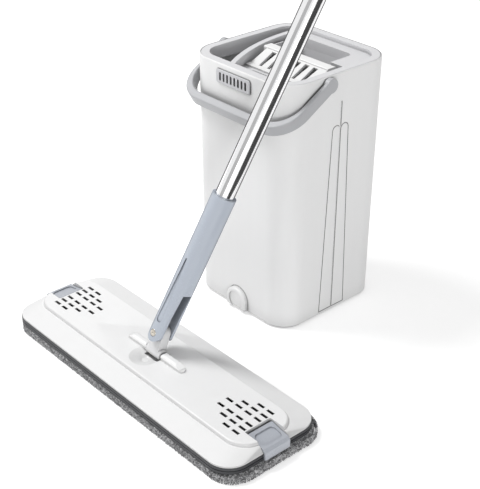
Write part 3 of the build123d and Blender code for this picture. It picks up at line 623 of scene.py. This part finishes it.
class MOP_OT_dress_bucket(Operator):
    """Gives the tub, the wringing insert, the grille, the plug and the bail their plastics"""
    bl_idname = "mop.dress_bucket"
    bl_label = "Dress bucket"

    def execute(self, context):
        look = context.scene.bucket_look
        dress(["bucket_shell"],
              moulded_plastic("tub_plastic", look.tub, gloss=0.36, groove_shade=0.85, reach=3.0,
                              seam=(0.08, 0.45)))
        dress(["drain_plug"], moulded_plastic("plug_plastic", look.tub, groove_shade=0.4))
        dress(["wringer_insert", "dry_chute"],
              moulded_plastic("insert_plastic", look.insert, gloss=0.4, groove_shade=0.6, reach=6.0,
                              hollow_shade=0.6))
        dress(["wash_comb", "scraper_bar"],
              moulded_plastic("comb_plastic", look.comb, gloss=0.33))
        dress(["vent_grille"],
              moulded_plastic("vent_plastic", look.vent, gloss=0.4, edge=0.4, wear=0.1,
                              groove_shade=0.95, reach=6.0, seam=(0.12, 0.5)))
        dress(["bail_handle"], moulded_plastic("bail_plastic", look.bail, gloss=0.4))
        dress(["scraper_lip", "drain_seal"], soft_rubber("lip_rubber", look.rubber))
        return {"FINISHED"}


class MOP_OT_dress_mop(Operator):
    """Gives the head, the joint, the clips and the pole their plastics and steel"""
    bl_idname = "mop.dress_mop"
    bl_label = "Dress mop"

    def execute(self, context):
        look = context.scene.mop_look
        dress(["head_shell"],
              moulded_plastic("head_plastic", look.head, gloss=0.33, groove_shade=0.8, reach=8.0,
                              seam=(0.4, 0.85), hollow_shade=0.25, slope_shade=0.4))
        dress(["bearing_cap_left", "bearing_cap_right"],
              moulded_plastic("cap_plastic", look.head, gloss=0.33, groove_shade=0.4, reach=4.0,
                              hollow_shade=0.2))
        dress(["knuckle"],
              moulded_plastic("knuckle_plastic", look.knuckle, gloss=0.3, groove_shade=0.6, reach=4.0,
                              hollow_shade=0.5))
        dress(["head_base"], moulded_plastic("base_plastic", look.base, gloss=0.5))
        dress(["hook_strips"], hook_tape("hook_tape", look.hook))
        dress(["clip_left", "clip_right"],
              moulded_plastic("clip_plastic", look.clip, gloss=0.26, groove_shade=0.45))
        dress(["pole_socket"],
              moulded_plastic("socket_plastic", look.socket, gloss=0.26, groove_shade=0.5,
                              hollow_shade=0.85, hole=(0.3, 0.75)))
        dress(["pole_grip", "hang_eye", "pole_joint_lower", "pole_joint_upper"],
              moulded_plastic("grip_plastic", look.grip, gloss=0.45))
        dress(["clip_pin_left", "clip_pin_right"],
              polished_steel("pin_steel", look.pin, Vector((0, 1, 0)), gloss=0.22))
        return {"FINISHED"}


class MOP_OT_make_pole(Operator):
    """Makes the pole's three round steel tubes"""
    bl_idname = "mop.make_pole"
    bl_label = "Make pole"

    def execute(self, context):
        steel = polished_steel("pole_steel", context.scene.mop_look.steel, POLE)
        for node in ("pole_lower", "pole_middle", "pole_upper"):
            tube = round_tube(node.replace("pole", "tube"), *along(POLE, node),
                              context.scene.pole_look)
            tube.data.materials.append(steel)
            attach(tube, "pole")
            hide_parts(node)
        return {"FINISHED"}


class MOP_OT_make_rivet(Operator):
    """Makes the rivet that joins the fork to the knuckle"""
    bl_idname = "mop.make_rivet"
    bl_label = "Make rivet"

    def execute(self, context):
        look = context.scene.pole_look
        reach = max(along(PIN, "fork_pin"))
        seat = reach - look.head_height
        heads = [rivet_head(look, seat, reach) for _ in range(2)]
        heads[1].data.transform(Matrix.Rotation(math.pi, 4, "X"))
        bpy.ops.object.select_all(action="DESELECT")
        bpy.ops.mesh.primitive_cylinder_add(vertices=RIVET_SIDES, radius=look.shank,
                                            depth=2 * seat, end_fill_type="NOTHING")
        rivet = bpy.context.object
        rivet.name = rivet.data.name = "rivet"
        for head in heads:
            head.select_set(True)
        bpy.ops.object.join()
        bpy.ops.object.shade_smooth_by_angle(angle=math.radians(35))
        settle(rivet, FORK, PIN)
        rivet.data.materials.append(
            polished_steel("rivet_steel", context.scene.mop_look.pin, PIN, gloss=0.2))
        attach(rivet, "pole")
        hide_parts("fork_pin")
        return {"FINISHED"}


class MOP_OT_make_pad(Operator):
    """Makes the filled microfibre pad under the head, with a pile of tufts round its edge"""
    bl_idname = "mop.make_pad"
    bl_label = "Make pad"

    def execute(self, context):
        look = context.scene.pad_look
        low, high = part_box("mop_pad")
        inset = Vector((look.slack, look.slack, 0.0))
        pad = start_block("microfibre_pad", low + inset, high - inset)
        select_edges(pad, lambda a, b: abs(a.z - b.z) > MM)
        bpy.ops.mesh.bevel(offset=look.corner - look.slack, segments=12)
        bpy.ops.object.mode_set(mode="OBJECT")
        select_edges(pad, lambda a, b: abs(a.z - b.z) < MM / 10)
        bpy.ops.mesh.bevel(offset=look.edge, segments=4)
        bpy.ops.object.mode_set(mode="OBJECT")
        fill_pad(pad, low, high, look)
        lay_pile(pad, low, high, look)
        bpy.ops.object.shade_smooth()
        pad.data.materials.clear()
        pad.data.materials.append(mottled_pile("microfibre", look.dark, look.light))
        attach(pad, "head")
        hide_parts("mop_pad")
        return {"FINISHED"}


class MOP_OT_set_stage(Operator):
    """Lays the floor, hangs the lamps and stands the camera where the picture was taken from"""
    bl_idname = "mop.set_stage"
    bl_label = "Set stage"

    def execute(self, context):
        look = context.scene.stage_look
        self.lay_floor(look)
        self.light_room(context.scene, look)
        self.hang_lamp("key_lamp", power=look.key, **KEY_LAMP)
        self.hang_lamp("front_lamp", power=look.front, **FRONT_LAMP)
        for name, card in CARDS.items():
            self.hang_card(name, **card)
        camera = bpy.data.cameras.new("camera")
        camera.lens, camera.sensor_width = look.lens, SENSOR_WIDTH
        camera.clip_start, camera.clip_end = NEAREST, FURTHEST
        context.scene.camera = self.stand("camera", camera, look.eye, look.ahead)
        context.scene.view_settings.view_transform = "Standard"
        return {"FINISHED"}

    def lay_floor(self, look):
        """A pale floor that keeps the shadows and fades to white far away."""
        bpy.ops.object.select_all(action="DESELECT")
        bpy.ops.mesh.primitive_plane_add(size=look.floor_size)
        floor = bpy.context.object
        floor.name = "floor"
        finish = new_finish("floor_paper")
        here = finish.place()
        away = finish.node("VectorMath", {"operation": "LENGTH"}, {0: here}, "Value")
        pale = finish.blend(finish.noise(here, scale=3.0), toned(look.floor, 0.985), look.floor)
        paper = finish.node("BsdfDiffuse", {}, {"Color": pale})
        light = finish.node("Emission", {}, {
            "Color": finish.blend(away.between(low=1.0, high=3.0), [look.glow] * 3, [1.0] * 3)})
        seen = (finish.node("LightPath", output="Is Camera Ray")
                + finish.node("LightPath", output="Is Glossy Ray"))
        glow = finish.node("MixShader", {}, {0: seen, 2: light})
        finish.node("OutputMaterial", {},
                    {"Surface": finish.node("AddShader", {}, {0: paper, 1: glow})})
        floor.data.materials.append(finish.owner)

    def light_room(self, scene, look):
        """Even light all round, which the camera and reflections see as white."""
        scene.world = bpy.data.worlds.new("room")
        finish = Finish(scene.world)
        seen = (finish.node("LightPath", output="Is Camera Ray")
                + finish.node("LightPath", output="Is Glossy Ray")
                + finish.node("LightPath", output="Is Transmission Ray")).between(0.0, 1.0)
        light = finish.node("Background", {}, {
            "Color": (1.0, 1.0, 1.0, 1.0), "Strength": look.ambient + seen * (1.0 - look.ambient)})
        finish.node("OutputWorld", {}, {"Surface": light})

    def stand(self, name, data, place, ahead):
        """Puts a lamp or a camera at a place, so that it looks ahead."""
        stood = bpy.data.objects.new(name, data)
        stood.location = place
        stood.rotation_mode = "QUATERNION"
        stood.rotation_quaternion = Vector(ahead).to_track_quat("-Z", "Y")
        bpy.context.scene.collection.objects.link(stood)
        return stood

    def hang_lamp(self, name, place, target, size, power):
        """A round soft lamp that shines on a target."""
        lamp = bpy.data.lights.new(name, "AREA")
        lamp.shape, lamp.size, lamp.energy = "DISK", size, power
        self.stand(name, lamp, place, Vector(target) - Vector(place))

    def hang_card(self, name, towards, distance, width, grey):
        """A long card beside the pole, along it, that only reflections see."""
        bpy.ops.object.select_all(action="DESELECT")
        bpy.ops.mesh.primitive_plane_add(size=1.0)
        card = bpy.context.object
        card.name = name
        across = POLE.cross(Vector(towards)).normalized()
        turn = Matrix((across, POLE, across.cross(POLE))).transposed().to_4x4()
        place = Matrix.Translation(FORK + POLE * CARD_MIDDLE + Vector(towards) * distance)
        card.data.transform(place @ turn @ Matrix.Diagonal((width, CARD_LENGTH, 1, 1)))
        finish = new_finish(name)
        finish.node("OutputMaterial", {}, {
            "Surface": finish.node("Emission", {}, {"Strength": grey})})
        card.data.materials.append(finish.owner)
        card.visible_camera = card.visible_diffuse = card.visible_shadow = False
        card.visible_transmission = False


class MOP_PT_sidebar(Panel):
    """Lists the steps and their sizes and colours"""
    bl_label = "Flat mop and bucket"
    bl_idname = "MOP_PT_sidebar"
    bl_space_type = "VIEW_3D"
    bl_region_type = "UI"
    bl_category = "Mop"

    def draw(self, context):
        for step, look in STEPS.items():
            box = self.layout.box()
            box.operator(step.bl_idname)
            for name in LOOKS[look].__annotations__:
                box.prop(getattr(context.scene, look), name)


LOOKS = {"bucket_look": BucketLook, "mop_look": MopLook, "pad_look": PadLook,
         "pole_look": PoleLook, "stage_look": StageLook}
STEPS = {MOP_OT_dress_bucket: "bucket_look", MOP_OT_dress_mop: "mop_look",
         MOP_OT_make_pole: "pole_look", MOP_OT_make_rivet: "pole_look",
         MOP_OT_make_pad: "pad_look", MOP_OT_set_stage: "stage_look"}
CLASSES = (*LOOKS.values(), *STEPS, MOP_PT_sidebar)


def register():
    """Makes the steps and their sizes and colours known to Blender."""
    for made in CLASSES:
        bpy.utils.register_class(made)
    for name, look in LOOKS.items():
        setattr(bpy.types.Scene, name, PointerProperty(type=look))


def unregister():
    """Takes them away again."""
    for name in LOOKS:
        delattr(bpy.types.Scene, name)
    for made in reversed(CLASSES):
        bpy.utils.unregister_class(made)


def main():
    """Runs every step."""
    register()
    bpy.ops.mop.dress_bucket()
    bpy.ops.mop.dress_mop()
    bpy.ops.mop.make_pole()
    bpy.ops.mop.make_rivet()
    bpy.ops.mop.make_pad()
    bpy.ops.mop.set_stage()


if __name__ == "__main__":
    main()
